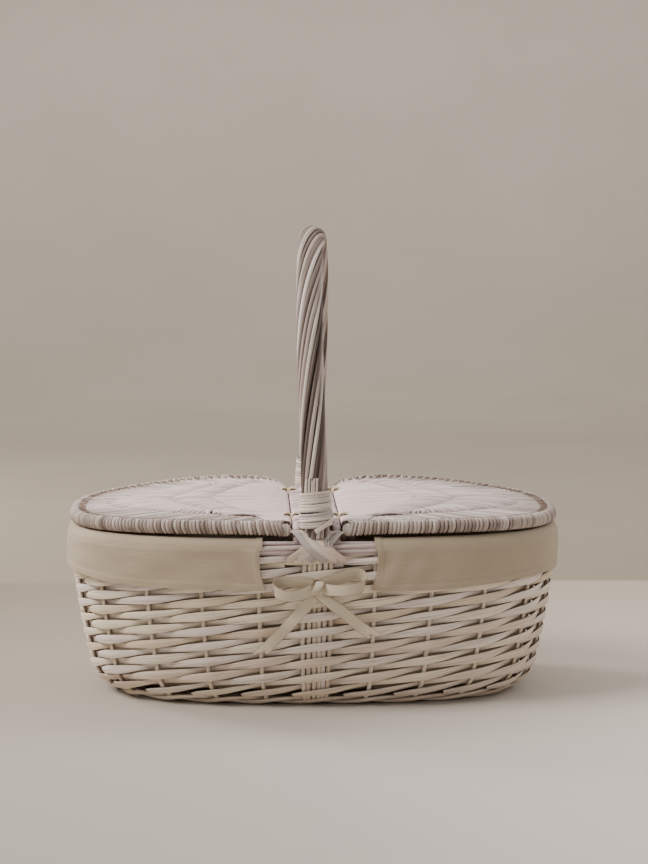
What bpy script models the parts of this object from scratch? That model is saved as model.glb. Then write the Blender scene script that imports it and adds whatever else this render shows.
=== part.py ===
"""A two-lid oval willow picnic basket with a fixed hoop handle, a cloth liner and ribbon bows.

Metres, +Z up. The basket stands on Z = 0 with its centre on the Z axis. Its length runs along X,
the handle's hoop lies in the YZ plane, and each lid turns on a rod beside the fixed bridge.
"""

import math

import bmesh
import bpy
from mathutils import Vector

# The plan: every woven ring is an oval |x / a|^p + |y / b|^p = 1.
OVAL_POWER = 2.8
RIM_HALF_X = 0.220
RIM_HALF_Y = 0.145
QUARTER_STEPS = 12  # chords in a quarter of a ring

# The side profile: how far the wall draws in towards the base.
RIM_Z = 0.148
LEAN = 0.024  # from the rim to the floor
LEAN_POWER = 1.7
FOOT_TURN = 0.018  # further, in the rounded bottom edge
FOOT_TURN_Z = 0.024
SIDE_SHARE = 0.8  # of the ends' lean that the long sides have

GAP = 0.0003  # between touching pieces
WALL = 0.006  # thickness of the woven side
STRAIGHT_HEIGHTS = (0.045, 0.075, 0.102)  # levels in the side's nearly straight part

# Base and rings.
BASE_TOP = 0.005
STICK_RADIUS = 0.002
STICK_HALF_LENGTH = 0.165
STICK_SPACING = 0.045
BOTTOM_WALE_RADIUS = 0.005
BOTTOM_WALE_INSET = 0.0035
SIDE_TOP_Z = 0.129
TOP_WALE_RADIUS = 0.0034
RIM_RADIUS = 0.006
RIM_INSET = 0.005

# Uprights.
STAKE_RADIUS = 0.002
UPRIGHTS = 24  # the front and back ones are the handle's rod bundles
UPRIGHT_LOW_Z = 0.026
UPRIGHT_TOP_Z = 0.1358
UPRIGHT_CLEAR = 0.0009  # inside the weave, whose facets and slope take up some of it
FOOT_BUNDLE_HALF_WIDTH = 0.015
FOOT_BUNDLE_THICK = 0.0036

# Cloth.
CLOTH = 0.001
LINER_INSET = WALL + UPRIGHT_CLEAR + 2 * STAKE_RADIUS + 0.0012
LINER_TOP_Z = 0.1355
CUFF_CLEAR = 0.0019  # outer leg's mid surface outside the wall
CUFF_LOW_Z = 0.097
CUFF_START_X = 0.044
RIBBON_PLANE = 0.1520
RIBBON_THICK = 0.006
BOW_Z = 0.111

# Handle.
HANDLE_Y = 0.138
HANDLE_FOOT_Z = 0.1520
HANDLE_RADIUS = 0.0117
CORE_RADIUS = 0.005
CROWN_TOP_Z = 0.417
HANDLE_TWIST = 0.005
HOOP_STEPS = 32
HANDLE_SIDES = 4  # bevel resolution of the hoop and of what grips it
BINDING_LOW_Z = 0.159
BINDING_HIGH_Z = 0.187
BINDING_THICK = 0.0014
BINDING_CLEAR = 0.0008
LASHING_HALF_X = 0.030
LASHING_LOW_Z = 0.117
LASHING_THICK = 0.0018

# Bridge and hinges.
ROD_RADIUS = 0.00275
BRIDGE_ROD_X = 0.0172
HINGE_X = 0.0246  # a lid turns on its own hinge rod
HINGE_Z = 0.1615
BRIDGE_HALF_WIDTH = 0.0122
BRIDGE_HALF_LENGTH = 0.122
BRIDGE_THICK = 0.009
BRIDGE_ROD_HALF_Y = 0.1465
LOOP_WIRE = 0.0007
LOOP_Y = 0.090

# Lids.
LID_HALF_X = 0.2225
LID_HALF_Y = 0.1475
LID_BORDER_RADIUS = 0.008
LID_BORDER_END_RADIUS = 0.0062
LID_UNDER_Z = 0.1510
LID_END_X = 0.0222
LID_EDGE_STEPS = 16  # from the tip to a hinge corner
LID_PANEL_STEPS = 12
LID_PANEL_THICK = 0.005
LID_PANEL_Z = 0.1605
LID_RIB_RADIUS = 0.0024
LID_ARCH = 0.0055  # lift of the lid's middle, which bends it off the rim
LID_WARP = 0.0030  # more at the back edge and less at the front one
HINGE_ROD_HALF_Y = 0.121

COLOURS = {
    "willow": ((0.63, 0.54, 0.47), 0.65),
    "pale_willow": ((0.72, 0.65, 0.57), 0.6),
    "skein": ((0.70, 0.58, 0.36), 0.5),
    "cotton": ((0.47, 0.40, 0.31), 0.9),
    "ribbon": ((0.68, 0.58, 0.42), 0.7),
}


def empty_scene():
    for old in list(bpy.data.objects):
        bpy.data.objects.remove(old, do_unlink=True)


def new_collection(name):
    made = bpy.data.collections.new(name)
    bpy.context.scene.collection.children.link(made)
    return made


def surface(name, look):
    """The piece's own Principled material, in one of the basket's looks."""
    colour, roughness = COLOURS[look]
    made = bpy.data.materials.new(name + "_surface")
    made.use_nodes = True
    shader = made.node_tree.nodes["Principled BSDF"]
    shader.inputs["Base Color"].default_value = (*colour, 1)
    shader.inputs["Roughness"].default_value = roughness
    shader.inputs["Metallic"].default_value = 0
    return made


def place(name, data, look, home, at=(0, 0, 0), parent=None):
    """Links an object named for its node, at a place in its parent's frame."""
    made = bpy.data.objects.new(name, data)
    data.materials.append(surface(name, look))
    home.objects.link(made)
    made.location = at
    made.parent = parent
    return made


# ---- The oval and the side profile ----


def signed_power(value, power):
    return math.copysign(abs(value) ** power, value)


def oval_unit(angle):
    """The unit oval's point at a parameter angle."""
    power = 2 / OVAL_POWER
    return signed_power(math.cos(angle), power), signed_power(math.sin(angle), power)


def quarter_angles():
    """Parameter angles of equal chords along the rim's first quarter."""
    fine = [math.pi / 2 * i / 2000 for i in range(2001)]
    along = [0.0]
    for a, b in zip(fine, fine[1:]):
        (ax, ay), (bx, by) = oval_unit(a), oval_unit(b)
        along.append(along[-1] + math.hypot((bx - ax) * RIM_HALF_X, (by - ay) * RIM_HALF_Y))
    found, j = [], 0
    for i in range(QUARTER_STEPS):
        while along[j] < along[-1] * i / QUARTER_STEPS:
            j += 1
        found.append(fine[j])
    return found


def ring_angles():
    """Parameter angles round the whole ring, mirrored so that both axes hold a corner."""
    first = quarter_angles()
    mirrored = [math.pi - a for a in [math.pi / 2] + first[:0:-1]]
    half = first + mirrored
    return half + [a + math.pi for a in half]


RING = ring_angles()


def lean(z):
    """How far the ends' outer face lies inside the rim at this height."""
    drawn = LEAN * max(0.0, 1 - z / RIM_Z) ** LEAN_POWER
    return drawn + FOOT_TURN * max(0.0, 1 - z / FOOT_TURN_Z) ** 2


def wall_point(angle, z, out=0.0):
    """A point on the wall's outer face, or out metres outside it."""
    ux, uy = oval_unit(angle)
    half_x = RIM_HALF_X - lean(z) + out
    half_y = RIM_HALF_Y - lean(z) * SIDE_SHARE + out
    return Vector((half_x * ux, half_y * uy, z))


# ---- Shapes ----


def wall_sheet(name, levels, angles, thick, look, home, closed=True, floor=False):
    """An open surface through (height, outset) levels round the oval, thickened about its middle."""
    bm = bmesh.new()
    rows = []
    for z, out in levels:
        rows.append([bm.verts.new(wall_point(a, z, out)) for a in angles])
    pairs = len(angles) if closed else len(angles) - 1
    edges = [bm.edges.new((rows[0][i], rows[0][(i + 1) % len(angles)])) for i in range(pairs)]
    for row in rows[1:]:
        upper = [bm.edges.new((row[i], row[(i + 1) % len(angles)])) for i in range(pairs)]
        bmesh.ops.bridge_loops(bm, edges=edges + upper)
        edges = upper
    if floor:
        bm.faces.new(rows[0])
    bmesh.ops.recalc_face_normals(bm, faces=bm.faces)
    mesh = bpy.data.meshes.new(name)
    bm.to_mesh(mesh)
    bm.free()
    made = place(name, mesh, look, home)
    shell = made.modifiers.new("thickness", "SOLIDIFY")
    shell.thickness = thick
    shell.offset = 0
    shell.use_even_offset = True
    shade(mesh)
    return made


def shade(mesh):
    mesh.shade_smooth()
    mesh.set_sharp_from_angle(angle=math.radians(40))


def wire(name, points, radius, look, home, closed=False, sides=2, radii=None, at=(0, 0, 0), parent=None):
    """A round rod along a list of points; radii scale it point by point."""
    curve = bpy.data.curves.new(name, "CURVE")
    curve.dimensions = "3D"
    curve.bevel_depth = radius
    curve.bevel_resolution = sides
    curve.use_fill_caps = True
    line = curve.splines.new("POLY")
    line.points.add(len(points) - 1)
    for i, point in enumerate(points):
        line.points[i].co = (*point, 1)
        line.points[i].radius = radii[i] if radii else 1
    line.use_cyclic_u = closed
    line.use_smooth = True
    return place(name, curve, look, home, at, parent)


def outline_plate(name, points, thick, look, home, at=(0, 0, 0), turn=(0, 0, 0), parent=None):
    """A flat closed outline in its own XY plane, extruded to a thickness about that plane."""
    curve = bpy.data.curves.new(name, "CURVE")
    curve.dimensions = "2D"
    curve.fill_mode = "BOTH"
    curve.extrude = thick / 2
    line = curve.splines.new("POLY")
    line.points.add(len(points) - 1)
    for spot, (x, y) in zip(line.points, points):
        spot.co = (x, y, 0, 1)
    line.use_cyclic_u = True
    made = place(name, curve, look, home, at, parent)
    made.rotation_euler = turn
    return made


def as_mesh(made, look, home):
    """The same piece as a closed mesh, so that it can be cut."""
    bpy.context.view_layer.update()
    seen = made.evaluated_get(bpy.context.evaluated_depsgraph_get())
    mesh = bpy.data.meshes.new_from_object(seen)
    name, where, parent = made.name, made.matrix_world.copy(), made.parent
    bpy.data.objects.remove(made, do_unlink=True)
    bm = bmesh.new()
    bm.from_mesh(mesh)
    bmesh.ops.remove_doubles(bm, verts=bm.verts, dist=0.00001)
    bm.to_mesh(mesh)
    bm.free()
    mesh.materials.clear()
    new = place(name, mesh, look, home)
    new.parent = parent
    new.matrix_world = where
    return new


def cut(made, cutter):
    """Cuts a mesh by a cutter, which stays as a hidden guide."""
    cutter.hide_render = True
    cutter.display_type = "WIRE"
    bore = made.modifiers.new("bore", "BOOLEAN")
    bore.operation = "DIFFERENCE"
    bore.solver = "EXACT"
    bore.object = cutter


# ---- The basket's own parts ----


def build_base(home):
    """A woven oval slab with three lengthwise sticks on it."""
    edge = BOTTOM_WALE_RADIUS
    half = -BOTTOM_WALE_INSET - BOTTOM_WALE_RADIUS - GAP
    rim = [wall_point(a, edge, half) for a in RING]
    outline_plate(
        "base_weave", [(p.x, p.y) for p in rim], BASE_TOP, "willow", home, at=(0, 0, BASE_TOP / 2)
    )
    z = BASE_TOP + GAP + STICK_RADIUS
    for i in range(3):
        y = (i - 1) * STICK_SPACING
        ends = [(-STICK_HALF_LENGTH, y, z), (STICK_HALF_LENGTH, y, z)]
        wire(f"base_stick_{i + 1}", ends, STICK_RADIUS, "willow", home)


def build_rings(home):
    """The bottom wale, the top wale and the rim border."""
    foot = [wall_point(a, BOTTOM_WALE_RADIUS, -BOTTOM_WALE_INSET) for a in RING]
    wire("bottom_wale", foot, BOTTOM_WALE_RADIUS, "willow", home, closed=True)
    top = SIDE_TOP_Z + GAP + TOP_WALE_RADIUS
    wale = [wall_point(a, top, -WALL / 2) for a in RING]
    wire("top_wale", wale, TOP_WALE_RADIUS, "willow", home, closed=True, sides=1)
    rim_z = SIDE_TOP_Z + 2 * GAP + 2 * TOP_WALE_RADIUS + RIM_RADIUS
    rim = [wall_point(a, rim_z, -RIM_INSET) for a in RING]
    wire("rim_border", rim, RIM_RADIUS, "pale_willow", home, closed=True)


def build_side(home):
    """The flaring woven side, a closed shell open at its top and bottom."""
    low = 2 * BOTTOM_WALE_RADIUS + GAP + 0.0012
    heights = [low, 0.016, FOOT_TURN_Z, *STRAIGHT_HEIGHTS, SIDE_TOP_Z]
    levels = [(z, -WALL / 2) for z in heights]
    wall_sheet("side_weave", levels, RING, WALL, "willow", home)


def upright_angle(index):
    """The parameter angle of an upright, counted from the front centre."""
    step = 4 * QUARTER_STEPS // UPRIGHTS
    return RING[(3 * QUARTER_STEPS + index * step) % len(RING)]


def build_uprights(home):
    """Stakes against the inside of the weave, with a flat bundle of handle rods at front and back."""
    inset = -WALL - UPRIGHT_CLEAR - STAKE_RADIUS
    heights = [UPRIGHT_LOW_Z, *STRAIGHT_HEIGHTS, UPRIGHT_TOP_Z]
    number = 0
    for index in range(UPRIGHTS):
        if index % (UPRIGHTS // 2) == 0:
            continue
        number += 1
        line = [wall_point(upright_angle(index), z, inset) for z in heights]
        wire(f"stake_{number:02d}", line, STAKE_RADIUS, "willow", home, sides=1)
    levels = [(z, -WALL - UPRIGHT_CLEAR - FOOT_BUNDLE_THICK / 2) for z in heights]
    for name, middle in (("front", -math.pi / 2), ("back", math.pi / 2)):
        near = wide_angles(middle, FOOT_BUNDLE_HALF_WIDTH, 2)
        wall_sheet(f"{name}_handle_rods", levels, near, FOOT_BUNDLE_THICK, "willow", home, closed=False)


def wide_angles(middle, half_width, steps):
    """Parameter angles that cover half_width to each side of the front or back centre."""
    side = math.acos((half_width / RIM_HALF_X) ** (OVAL_POWER / 2))
    spread = math.pi / 2 - side
    return [middle + spread * signed_power(i / steps, OVAL_POWER / 2) for i in range(-steps, steps + 1)]


def over_rim(low_z, thick):
    """Levels of a cloth or lashing that goes up outside, over the rim border and down inside."""
    rim_z = SIDE_TOP_Z + 2 * GAP + 2 * TOP_WALE_RADIUS + RIM_RADIUS
    reach = RIM_RADIUS + thick / 2 + 0.0004
    levels = [(low_z, CUFF_CLEAR), ((low_z + SIDE_TOP_Z) / 2, CUFF_CLEAR)]
    for degrees in (0, 35, 65, 90, 115, 145, 180):
        turn = math.radians(degrees)
        levels.append((rim_z + reach * math.sin(turn), -RIM_INSET + reach * math.cos(turn)))
    return levels


def build_liner(home):
    """The cotton bag inside, and the two cuffs that fold over the rim."""
    low = BASE_TOP + GAP + 2 * STICK_RADIUS + GAP + CLOTH / 2 + 0.0002
    foot = [(low, 0.012), (0.013, 0.007), (FOOT_TURN_Z, 0.002)]
    levels = [(z, -LINER_INSET - further) for z, further in foot]
    levels += [(z, -LINER_INSET) for z in (*STRAIGHT_HEIGHTS, LINER_TOP_Z)]
    wall_sheet("liner_bag", levels, RING, CLOTH, "cotton", home, floor=True)
    start = wide_angles(-math.pi / 2, CUFF_START_X, 1)[-1]
    for name, turn in (("right", 0.0), ("left", math.pi)):
        half = math.pi / 2 - (start + math.pi / 2)
        inside = [a for a in sorted(wrapped(RING)) if abs(a) < half - 0.02]
        angles = [-half] + inside + [half]
        shifted = [a + turn for a in angles]
        wall_sheet(
            f"{name}_liner_cuff", over_rim(CUFF_LOW_Z, CLOTH), shifted, CLOTH, "cotton", home, closed=False
        )


def wrapped(angles):
    """The same angles between -pi and pi."""
    return [math.remainder(a, 2 * math.pi) for a in angles]


def bow_outline():
    """A flat bow: two loops, a knot and two slanting tails, symmetric from side to side."""
    right = [(0.006, 0.008)]
    loop_half, loop_x, loop_length = 0.010, 0.010, 0.033
    for degrees in (70, 35, 0, -35, -70):
        turn = math.radians(degrees)
        right.append((loop_x + loop_length * math.cos(turn) ** 0.6, loop_half * math.sin(turn)))
    right += [(0.016, -0.009), (0.050, -0.046), (0.043, -0.053), (0.006, -0.018)]
    left = [(-x, y) for x, y in reversed(right)]
    return right + left


def build_bows(home):
    """A ribbon bow hangs plumb at the front and at the back."""
    for name, side in (("front", -1), ("back", 1)):
        outline_plate(
            f"{name}_bow",
            bow_outline(),
            RIBBON_THICK,
            "ribbon",
            home,
            at=(0, side * RIBBON_PLANE, BOW_Z),
            turn=(math.pi / 2, 0, 0 if side < 0 else math.pi),
        )


# ---- Handle ----


def hoop_point(share):
    """A point of the hoop's centre line, from the front foot (0) to the back foot (1)."""
    turn = math.pi * share
    rise = CROWN_TOP_Z - HANDLE_RADIUS - HANDLE_FOOT_Z
    return Vector(
        (
            -HANDLE_TWIST * math.sin(2 * turn),
            -HANDLE_Y * math.cos(turn),
            HANDLE_FOOT_Z + rise * math.sin(turn),
        )
    )


def hoop_share_at(z):
    """The share of the front leg's centre line at a height."""
    return math.asin((z - HANDLE_FOOT_Z) / (CROWN_TOP_Z - HANDLE_RADIUS - HANDLE_FOOT_Z)) / math.pi


def sleeve(name, points, bore_points, outer, inner, look, home, guides):
    """A rod along points with a bore along bore_points."""
    body = as_mesh(wire(name, points, outer, look, home, sides=HANDLE_SIDES), look, home)
    hole = wire(name + "_bore", bore_points, inner, look, guides, sides=HANDLE_SIDES)
    bore = as_mesh(hole, look, guides)
    cut(body, bore)
    return body


def build_handle(home, guides):
    """A hoop of twisted rods round a core, bound at each foot and lashed over the rim."""
    line = [hoop_point(i / HOOP_STEPS) for i in range(HOOP_STEPS + 1)]
    below = Vector((0, 0, -0.004))
    past = [line[0] + below] + line[1:-1] + [line[-1] + below]
    wire("handle_core", line, CORE_RADIUS, "willow", home, sides=1)
    sleeve("handle_rod_wrap", line, past, HANDLE_RADIUS, CORE_RADIUS + GAP, "pale_willow", home, guides)
    low, high = hoop_share_at(BINDING_LOW_Z), hoop_share_at(BINDING_HIGH_Z)
    reach = high - low
    for name, flip in (("front", False), ("back", True)):
        shares = [low + reach * i / 3 for i in range(4)]
        beyond = [low - reach / 6] + shares[1:-1] + [high + reach / 6]
        if flip:
            shares, beyond = [1 - s for s in shares], [1 - s for s in beyond]
        sleeve(
            f"{name}_handle_binding",
            [hoop_point(s) for s in shares],
            [hoop_point(s) for s in beyond],
            HANDLE_RADIUS + BINDING_CLEAR + BINDING_THICK,
            HANDLE_RADIUS + BINDING_CLEAR,
            "skein",
            home,
            guides,
        )
        middle = math.pi / 2 if flip else -math.pi / 2
        wall_sheet(
            f"{name}_rim_lashing",
            over_rim(LASHING_LOW_Z, LASHING_THICK),
            wide_angles(middle, LASHING_HALF_X, 3),
            LASHING_THICK,
            "skein",
            home,
            closed=False,
        )


# ---- Bridge and hinges ----


def build_bridge(home):
    """The fixed strip between the lids, its two edge rods bending down to the rim."""
    rest_z = LID_UNDER_Z + ROD_RADIUS + 0.0016
    strip = [
        (x * BRIDGE_HALF_WIDTH, y * BRIDGE_HALF_LENGTH) for x, y in ((1, 1), (-1, 1), (-1, -1), (1, -1))
    ]
    outline_plate("bridge_weave", strip, BRIDGE_THICK, "pale_willow", home, at=(0, 0, HINGE_Z - 0.002))
    half = [(0.0, HINGE_Z), (0.112, HINGE_Z), (0.122, HINGE_Z - 0.0015), (0.132, rest_z + 0.0014)]
    half += [(0.139, rest_z), (BRIDGE_ROD_HALF_Y, rest_z)]
    profile = [(-y, z) for y, z in reversed(half[1:])] + half
    for name, side in (("left", -1), ("right", 1)):
        line = [(side * BRIDGE_ROD_X, y, z) for y, z in profile]
        wire(f"bridge_{name}_rod", line, ROD_RADIUS, "pale_willow", home)
        for end, sign in (("front", -1), ("back", 1)):
            hinge_loop(f"{name}_{end}_hinge_loop", side, sign * LOOP_Y, home)


def hinge_loop(name, side, y, home):
    """A skein loop round a lid's hinge rod and the bridge's edge rod beside it."""
    reach = ROD_RADIUS + LOOP_WIRE + GAP
    line = []
    for centre, start in ((HINGE_X, -90), (BRIDGE_ROD_X, 90)):
        for i in range(6):
            turn = math.radians(start + 36 * i)
            x = side * (centre + reach * math.cos(turn))
            line.append((x, y, HINGE_Z + reach * math.sin(turn)))
    wire(name, line, LOOP_WIRE, "skein", home, closed=True, sides=1)


# ---- Lids, modelled from their hinge rod outward along their own +X ----


def lid_outline(inset, steps, end_x):
    """Points of the lid's curved edge from the front hinge corner to the back one."""
    half_x, half_y = LID_HALF_X - inset, LID_HALF_Y - inset
    side = math.acos((end_x / half_x) ** (OVAL_POWER / 2))
    found = []
    for i in range(-steps, steps + 1):
        share = i / steps
        ux, uy = oval_unit(side * (0.55 * share + 0.45 * share**3))
        found.append((half_x * ux, half_y * uy))
    return found


def lid_lift(x, y):
    """How far a lid bends up between its hinge and its tip."""
    share = min(1.0, max(0.0, (x - HINGE_X) / (LID_HALF_X - LID_BORDER_RADIUS - HINGE_X)))
    return (LID_ARCH + LID_WARP * y / LID_HALF_Y) * math.sin(math.pi * share**0.55)


def lid_sheet(name, mirror, edge, look, home, parent):
    """A lid's woven panel: rows from front to back between the two sides of its edge."""
    bm = bmesh.new()
    middle = len(edge) // 2
    rows = []
    for step in range(middle, 0, -1):
        (x, y0), (_, y1) = edge[middle - step], edge[middle + step]
        spots = [(x, y0 + (y1 - y0) * i / 6) for i in range(7)]
        rows.append([bm.verts.new(lid_spot(mirror, x, y, LID_PANEL_Z)) for x, y in spots])
    for row, following in zip(rows, rows[1:]):
        for i in range(6):
            bm.faces.new((row[i], row[i + 1], following[i + 1], following[i]))
    tip = bm.verts.new(lid_spot(mirror, *edge[middle], LID_PANEL_Z))
    for i in range(6):
        bm.faces.new((rows[-1][i], rows[-1][i + 1], tip))
    bmesh.ops.recalc_face_normals(bm, faces=bm.faces)
    mesh = bpy.data.meshes.new(name)
    bm.to_mesh(mesh)
    bm.free()
    made = place(name, mesh, look, home, parent=parent)
    shell = made.modifiers.new("thickness", "SOLIDIFY")
    shell.thickness = LID_PANEL_THICK
    shell.offset = 0
    shade(mesh)


def lid_spot(mirror, x, y, z):
    """A lid's point in its hinge's frame, bent with the lid."""
    return (mirror * (x - HINGE_X), y, z + lid_lift(x, y) - HINGE_Z)


def build_lid(name, mirror, home):
    """One lid on its hinge: border, hinge rod, woven panel and the rib under it."""
    hinge = bpy.data.objects.new(f"{name}_lid_hinge", None)
    home.objects.link(hinge)
    hinge.location = (mirror * HINGE_X, 0, HINGE_Z)
    steps = LID_EDGE_STEPS
    edge = lid_outline(LID_BORDER_RADIUS, steps, LID_END_X)
    ends = LID_BORDER_END_RADIUS / LID_BORDER_RADIUS
    line, radii = [], []
    for (x, y), count in zip(edge, range(-steps, steps + 1)):
        grown = min(1.0, ends + (1 - ends) * (steps - abs(count)) / 3)
        radii.append(grown)
        line.append(lid_spot(mirror, x, y, LID_UNDER_Z + LID_BORDER_RADIUS * grown))
    border = f"{name}_lid_border"
    wire(border, line, LID_BORDER_RADIUS, "pale_willow", home, radii=radii, parent=hinge)
    rod = [(0, -HINGE_ROD_HALF_Y, 0), (0, HINGE_ROD_HALF_Y, 0)]
    wire(f"{name}_lid_hinge_rod", rod, ROD_RADIUS, "pale_willow", home, parent=hinge)
    panel_x = HINGE_X + ROD_RADIUS + 2 * LOOP_WIRE + 3 * GAP
    panel = lid_outline(2 * LID_BORDER_RADIUS + 0.001, LID_PANEL_STEPS, panel_x)
    lid_sheet(f"{name}_lid_weave", mirror, panel, "willow", home, hinge)
    rib_z = LID_PANEL_Z - LID_PANEL_THICK / 2 - 2 * GAP - LID_RIB_RADIUS
    rib = [lid_spot(mirror, x, 0, rib_z) for x, _ in panel[: len(panel) // 2]]
    wire(f"{name}_lid_rib", rib, LID_RIB_RADIUS, "willow", home, sides=1, parent=hinge)


def main():
    empty_scene()
    basket = new_collection("picnic_basket")
    guides = new_collection("picnic_basket_guides")
    build_base(basket)
    build_rings(basket)
    build_side(basket)
    build_uprights(basket)
    build_liner(basket)
    build_bows(basket)
    build_handle(basket, guides)
    build_bridge(basket)
    build_lid("left", -1, basket)
    build_lid("right", 1, basket)


main()
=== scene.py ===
import math

import bpy
import numpy as np
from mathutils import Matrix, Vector


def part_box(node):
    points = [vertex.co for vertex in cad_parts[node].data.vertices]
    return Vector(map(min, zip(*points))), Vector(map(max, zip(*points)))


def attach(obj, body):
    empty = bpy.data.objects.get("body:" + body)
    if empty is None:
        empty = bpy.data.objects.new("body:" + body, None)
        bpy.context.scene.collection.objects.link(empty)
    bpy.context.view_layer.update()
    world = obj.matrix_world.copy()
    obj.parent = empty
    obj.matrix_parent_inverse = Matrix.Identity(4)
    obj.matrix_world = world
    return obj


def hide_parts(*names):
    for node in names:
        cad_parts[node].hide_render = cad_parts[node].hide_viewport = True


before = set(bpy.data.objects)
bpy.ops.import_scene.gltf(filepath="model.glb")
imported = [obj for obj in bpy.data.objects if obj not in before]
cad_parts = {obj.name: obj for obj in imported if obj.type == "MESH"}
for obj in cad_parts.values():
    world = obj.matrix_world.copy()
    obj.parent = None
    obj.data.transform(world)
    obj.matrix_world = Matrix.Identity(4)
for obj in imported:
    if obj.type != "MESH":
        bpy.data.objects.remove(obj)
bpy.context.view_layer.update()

# ---- Driving sizes: the same oval and side profile as the frame, in metres ----

OVAL_POWER = 2.8
RIM_HALF_X, RIM_HALF_Y, RIM_Z = 0.220, 0.145, 0.148
BORDER_Z, BORDER_OUT = 0.1424, -0.005  # the middle of the rim's rolled border
LEAN, LEAN_POWER = 0.024, 1.7
FOOT_TURN, FOOT_TURN_Z = 0.018, 0.024
SIDE_SHARE = 0.8
UPRIGHTS = 24
STAKE_RADIUS = 0.0019

LID_HALF_X, LID_HALF_Y = 0.2225, 0.1475
LID_BORDER_RADIUS = 0.008
LID_END_X = 0.0222
# How far from its end each of a lid border's closing turns lies, and the turn's radius.
LID_END_TURNS = (
    (0.0058, 0.0050), (0.0045, 0.0049), (0.0032, 0.0046), (0.0020, 0.0039), (0.0011, 0.0028), (0.0005, 0.0014)
)
LID_ARCH, LID_WARP = 0.0060, 0.0040
LID_BORDER_Z = 0.1582  # the middle of the border
PANEL_Z = 0.1605
HINGE_X, HINGE_Z = 0.0246, 0.1615
BRIDGE_ROD_X = 0.0172
LOOP_Y = 0.090

HANDLE_FOOT_Z = 0.1520
HANDLE_RADIUS = 0.0117
HANDLE_Y = 0.138
HANDLE_TWIST = 0.005
CROWN_Z = float(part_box("handle_rod_wrap")[1][2]) - HANDLE_RADIUS

# How far each rib of a lid stands out from the hinge, its half-width and how round it is.
RIB_SHAPES = ((0.160, 0.104, 1.7), (0.104, 0.160, 1.2), (0.066, 0.140, 1.2))
RIB_END_X = 0.047

WALL_MIDDLE = -0.003
WEAVE_LOW_Z, WEAVE_HIGH_Z = 0.0092, 0.1288
WEAVE_ROWS = 18

ALONG_X, ALONG_Y, UP = np.eye(3)

random = np.random.default_rng(11)


# ---- Small helpers ----


def around(count):
    """Angles of equal steps round a circle."""
    return np.linspace(0, 2 * np.pi, count + 1)[:-1]


def spokes(turn, first, second):
    """Directions round a circle, from the first direction towards the second."""
    return np.cos(turn)[:, None] * first + np.sin(turn)[:, None] * second


def length_along(*axes):
    """The length of a line from its start to each of its points."""
    squares = sum(np.diff(axis) ** 2 for axis in axes)
    return np.concatenate([[0], np.cumsum(np.sqrt(squares))])


def xyz(x, y, z):
    """Points from their three coordinates, each a number or an array."""
    return np.stack(np.broadcast_arrays(x, y, z), -1)


def unit(vectors):
    return vectors / np.maximum(np.linalg.norm(vectors, axis=-1, keepdims=True), 1e-12)


def between(spot, places, rows):
    """The row that belongs to a spot among the places of the known rows."""
    return np.stack([np.interp(spot, places, column) for column in np.transpose(rows)], -1)


# ---- The oval and the side ----


def signed_power(value, power):
    return np.sign(value) * np.abs(value) ** power


def unit_oval(angle):
    power = 2 / OVAL_POWER
    return signed_power(np.cos(angle), power), signed_power(np.sin(angle), power)


def equal_steps():
    """A table from the share of the rim's length, from the front middle to the right, to the angle."""
    angle = np.linspace(-np.pi / 2, 1.5 * np.pi, 16001)
    ux, uy = unit_oval(angle)
    along = length_along(ux * RIM_HALF_X, uy * RIM_HALF_Y)
    return along / along[-1], angle, along[-1]


SHARES, ANGLES, RIM_LENGTH = equal_steps()


def lean(z):
    drawn = LEAN * np.clip(1 - z / RIM_Z, 0, None) ** LEAN_POWER
    return drawn + FOOT_TURN * np.clip(1 - z / FOOT_TURN_Z, 0, None) ** 2


def side(share, z, out=0.0):
    """Points on the basket's side, out metres outside the woven face, and the outward directions."""
    share, z, out = np.broadcast_arrays(*(np.asarray(v, float) for v in (share, z, out)))
    angle = np.interp(share % 1.0, SHARES, ANGLES)
    ux, uy = unit_oval(angle)
    half_x, half_y = RIM_HALF_X - lean(z), RIM_HALF_Y - lean(z) * SIDE_SHARE
    steep = (lean(z + 0.0005) - lean(z - 0.0005)) / 0.001
    nx = signed_power(ux, OVAL_POWER - 1) / half_x
    ny = signed_power(uy, OVAL_POWER - 1) / half_y
    flat = np.hypot(nx, ny)
    normal = unit(xyz(nx / flat, ny / flat, np.clip(steep, -1.2, 0)))
    level = unit(normal * [1, 1, 0])
    point = xyz(half_x * ux, half_y * uy, z) + level * out[..., None]
    return point, normal


def share_at_front(x):
    """The share of the rim's length whose angle meets this x on the front side."""
    angle = -np.pi / 2 + np.sign(x) * (np.pi / 2 - np.arccos((abs(x) / RIM_HALF_X) ** (OVAL_POWER / 2)))
    return float(np.interp(angle, ANGLES[:8001], SHARES[:8001])) if x >= 0 else -share_at_front(-x)


# ---- Swept strands ----


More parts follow.
